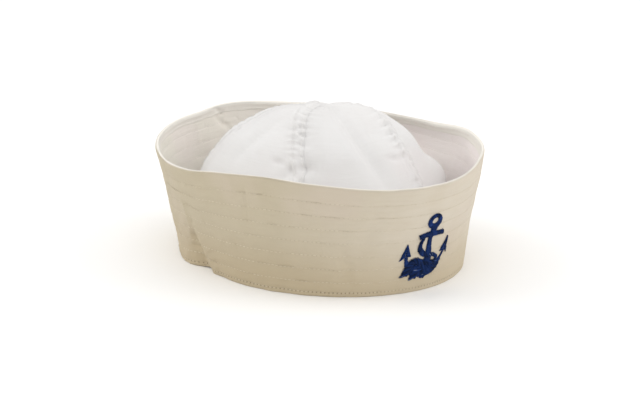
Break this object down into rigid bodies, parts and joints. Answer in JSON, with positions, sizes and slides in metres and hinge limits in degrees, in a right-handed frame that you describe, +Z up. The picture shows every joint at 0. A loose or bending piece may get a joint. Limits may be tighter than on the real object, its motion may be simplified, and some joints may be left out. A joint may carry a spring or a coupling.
{
  "type": "sailor cap",
  "caption": "White cotton sailor cap: domed gored crown inside a tall, row-stitched upturned brim with an embroidered anchor at the front.",
  "frame": {"origin": "on the surface that the cap rests on, under the middle of its overall box", "axes": "+Z up through the crown, -Y towards the front, where the anchor is"},
  "size_m": [0.2056, 0.2406, 0.1016],
  "materials": {
    "brim_cotton": "matt stitched cotton twill, warm white",
    "crown_cotton": "matt cotton twill, cool white",
    "navy_thread": "satin-stitched navy thread with a soft sheen"
  },
  "bodies": {
    "root": {"brim": "brim_cotton", "crown_gore_1": "crown_cotton", "crown_gore_2": "crown_cotton", "crown_gore_3": "crown_cotton", "crown_gore_4": "crown_cotton", "crown_gore_5": "crown_cotton", "anchor_emblem": "navy_thread"}
  },
  "joints": []
}
